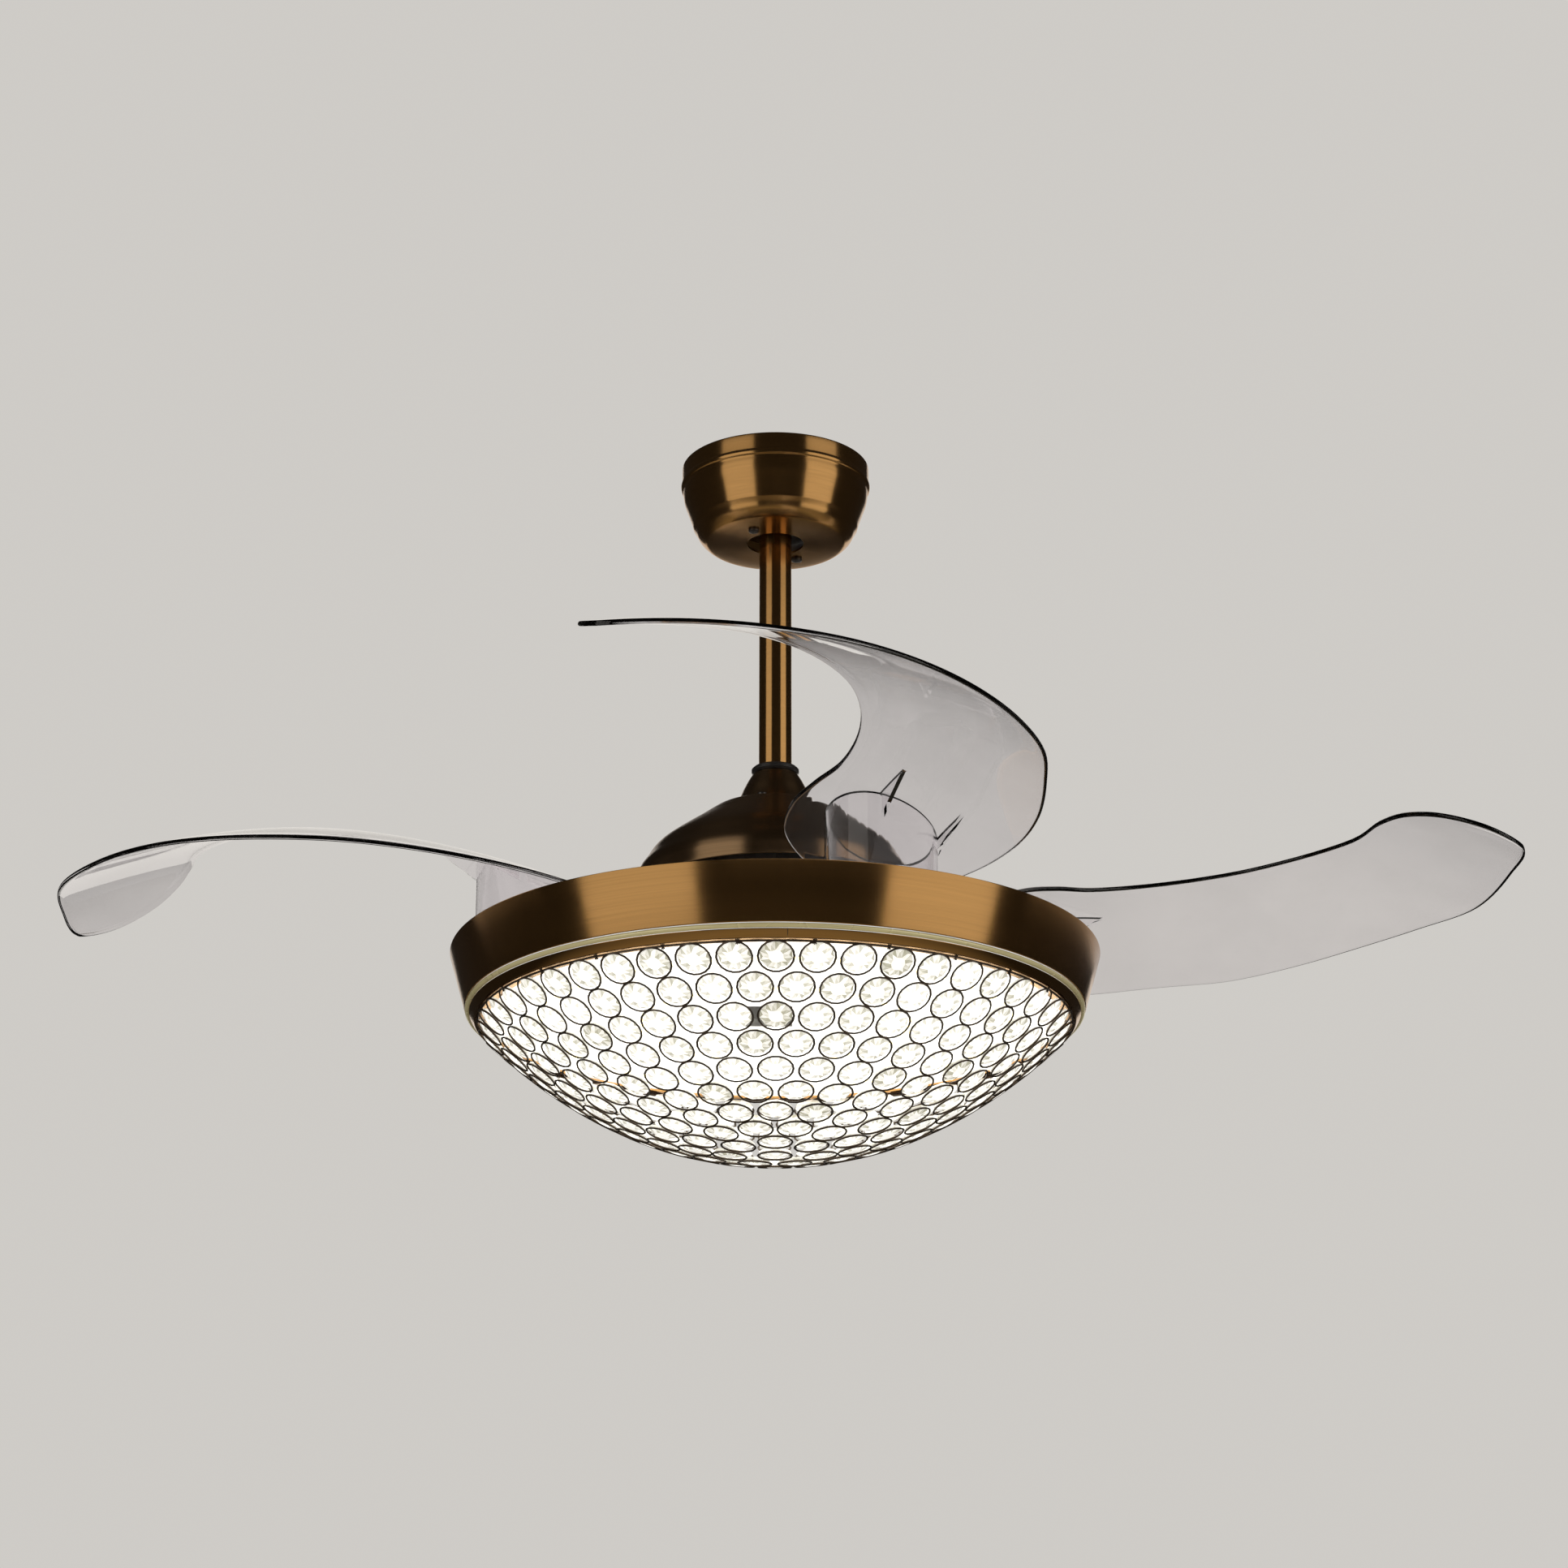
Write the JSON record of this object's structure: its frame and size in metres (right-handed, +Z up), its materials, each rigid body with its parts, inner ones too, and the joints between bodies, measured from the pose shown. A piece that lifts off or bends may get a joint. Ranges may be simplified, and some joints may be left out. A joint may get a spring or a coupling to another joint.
{
  "type": "retractable blade ceiling fan",
  "caption": "Ceiling fan on a short downrod with a domed motor, clear curved blades that fold in over a flat drum, and a crystal bowl light under it.",
  "frame": {"origin": "middle of the hanger bracket's top face, which lies against the ceiling", "axes": "+Z up, along the downrod towards the ceiling; -Y is the front, which faces the camera of the picture"},
  "size_m": [1.0506, 1.0506, 0.5292],
  "materials": {
    "brushed_brass": "antique brass, brushed round",
    "pale_brass": "polished pale gold bead",
    "black_plastic": "black moulded plastic",
    "zinc_steel": "zinc plated steel",
    "dark_steel": "dark oiled steel",
    "cast_aluminium": "as cast",
    "magnet": "bonded ferrite",
    "copper_wire": "enamelled copper winding",
    "nylon": "natural nylon",
    "white_paint": "white powder coat",
    "led_light": "lit LED strip",
    "crystal": "faceted clear crystals in dark wire rings",
    "clear_plastic": "clear moulded acrylic with a rounded edge"
  },
  "bodies": {
    "ceiling_mount": {"hanger_bracket": "zinc_steel", "canopy": "brushed_brass", "canopy_screw_1": "dark_steel", "canopy_screw_2": "dark_steel"},
    "suspension": {"hanger_ball": "nylon", "hanger_pin": "zinc_steel", "downrod": "brushed_brass", "rod_collar": "black_plastic", "coupling_cover": "brushed_brass", "shaft_coupling": "zinc_steel", "coupling_bolt": "zinc_steel", "motor_dome": "brushed_brass", "dome_screw_1": "dark_steel", "dome_screw_2": "dark_steel", "dome_screw_3": "dark_steel", "dome_screw_4": "dark_steel", "motor_shaft": "zinc_steel", "stator_core": "dark_steel", "stator_winding_upper": "copper_wire", "stator_winding_lower": "copper_wire", "shaft_spacer": "zinc_steel", "shaft_nut": "zinc_steel", "light_pan": "zinc_steel", "drum_band": "brushed_brass", "trim_ring": "pale_brass", "lower_lip": "brushed_brass", "light_plate": "white_paint", "led_strip_1": "led_light", "led_strip_2": "led_light", "led_driver": "white_paint", "remote_receiver": "black_plastic", "crystal_bowl": "crystal"},
    "rotor": {"upper_bearing": "zinc_steel", "lower_bearing": "zinc_steel", "rotor_lid": "cast_aluminium", "rotor_can": "cast_aluminium", "magnet_ring": "magnet", "blade_carrier": "cast_aluminium", "pivot_post_1": "zinc_steel", "pivot_cap_1": "dark_steel", "pivot_post_2": "zinc_steel", "pivot_cap_2": "dark_steel", "pivot_post_3": "zinc_steel", "pivot_cap_3": "dark_steel", "pivot_post_4": "zinc_steel", "pivot_cap_4": "dark_steel", "return_spring_1": "dark_steel", "return_spring_2": "dark_steel", "return_spring_3": "dark_steel", "return_spring_4": "dark_steel"},
    "blade_1": {"blade_1": "clear_plastic"},
    "blade_2": {"blade_2": "clear_plastic"},
    "blade_3": {"blade_3": "clear_plastic"},
    "blade_4": {"blade_4": "clear_plastic"}
  },
  "joints": [
    {"name": "rod_swing", "type": "hinge", "parent": "ceiling_mount", "child": "suspension", "pos_m": [0, 0, -0.031], "axis": [1, 0, 0], "range_deg": [-8, 8]},
    {"name": "rotor_spin", "type": "hinge", "parent": "suspension", "child": "rotor", "pos_m": [0, 0, -0.31], "axis": [0, 0, 1], "continuous": true},
    {"name": "blade_fold_1", "type": "hinge", "parent": "rotor", "child": "blade_1", "pos_m": [0.07118, -0.17184, -0.39], "axis": [0, 0, 1], "range_deg": [-117, 0]},
    {"name": "blade_fold_2", "type": "hinge", "parent": "rotor", "child": "blade_2", "pos_m": [-0.17184, -0.07118, -0.39], "axis": [0, 0, 1], "range_deg": [-117, 0]},
    {"name": "blade_fold_3", "type": "hinge", "parent": "rotor", "child": "blade_3", "pos_m": [-0.07118, 0.17184, -0.39], "axis": [0, 0, 1], "range_deg": [-117, 0]},
    {"name": "blade_fold_4", "type": "hinge", "parent": "rotor", "child": "blade_4", "pos_m": [0.17184, 0.07118, -0.39], "axis": [0, 0, 1], "range_deg": [-117, 0]}
  ],
  "couplings": [
    {"joint": "blade_fold_2", "follows": "blade_fold_1", "ratio": 1},
    {"joint": "blade_fold_3", "follows": "blade_fold_1", "ratio": 1},
    {"joint": "blade_fold_4", "follows": "blade_fold_1", "ratio": 1}
  ]
}
